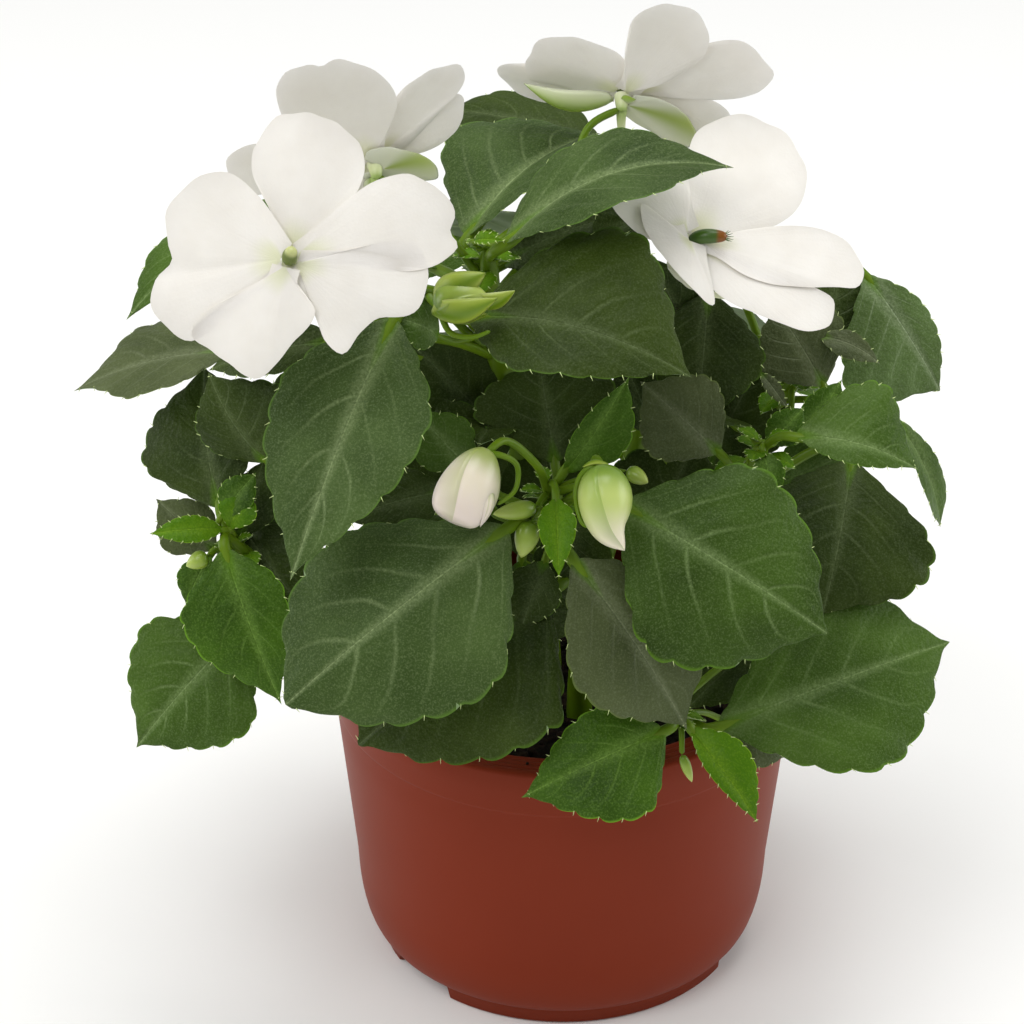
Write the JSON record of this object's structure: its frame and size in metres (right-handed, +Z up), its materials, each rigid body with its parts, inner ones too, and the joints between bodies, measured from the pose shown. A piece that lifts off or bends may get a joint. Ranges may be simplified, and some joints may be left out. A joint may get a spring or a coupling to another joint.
{
  "type": "potted busy lizzie",
  "caption": "White busy lizzie with toothed dark green leaves, open flowers, hanging buds and fleshy stems, growing in compost in a round brown plastic nursery pot.",
  "frame": {"origin": "centre of the pot's flat underside, which rests on the surface", "axes": "+Z up along the pot's axis, -Y towards the front of the plant, +X to its right"},
  "size_m": [0.2128, 0.1843, 0.2601],
  "materials": {
    "pot_plastic": "satin",
    "compost": "matte",
    "stem": "satin",
    "leaf": "satin",
    "petal": "matte",
    "bud": "satin"
  },
  "bodies": {
    "root": {"bud_left": "bud", "bud_right": "bud", "bud_top": "bud", "flower_back_left_dorsal": "petal", "flower_back_left_left_pair": "petal", "flower_back_left_right_pair": "petal", "flower_back_left_stalk": "stem", "flower_front_left_dorsal": "petal", "flower_front_left_left_pair": "petal", "flower_front_left_right_pair": "petal", "flower_front_left_stalk": "stem", "flower_front_right_dorsal": "petal", "flower_front_right_left_pair": "petal", "flower_front_right_right_pair": "petal", "flower_front_right_stalk": "stem", "flower_top_right_dorsal": "petal", "flower_top_right_left_pair": "petal", "flower_top_right_right_pair": "petal", "flower_top_right_stalk": "stem", "leaf_back_left": "leaf", "leaf_back_low": "leaf", "leaf_back_middle": "leaf", "leaf_back_right": "leaf", "leaf_centre_back": "leaf", "leaf_centre_dark": "leaf", "leaf_centre_grey": "leaf", "leaf_far_left": "leaf", "leaf_far_right_out": "leaf", "leaf_far_right_up": "leaf", "leaf_front_grey": "leaf", "leaf_front_left_big": "leaf", "leaf_front_right_big": "leaf", "leaf_front_under": "leaf", "leaf_left_big": "leaf", "leaf_left_dark": "leaf", "leaf_left_heart": "leaf", "leaf_left_low": "leaf", "leaf_left_round": "leaf", "leaf_left_up": "leaf", "leaf_low_left": "leaf", "leaf_low_right": "leaf", "leaf_right_bright": "leaf", "leaf_right_dark": "leaf", "leaf_right_edge": "leaf", "leaf_right_grey": "leaf", "leaf_right_low": "leaf", "leaf_top_back": "leaf", "leaf_top_big": "leaf", "leaf_top_folded": "leaf", "leaf_top_long": "leaf", "pot": "pot_plastic", "shoot_back_left": "stem", "shoot_back_right": "stem", "shoot_far_right": "stem", "shoot_front": "stem", "shoot_left": "stem", "shoot_low": "stem", "shoot_right": "stem", "shoot_top": "stem", "soil": "compost"}
  },
  "joints": []
}
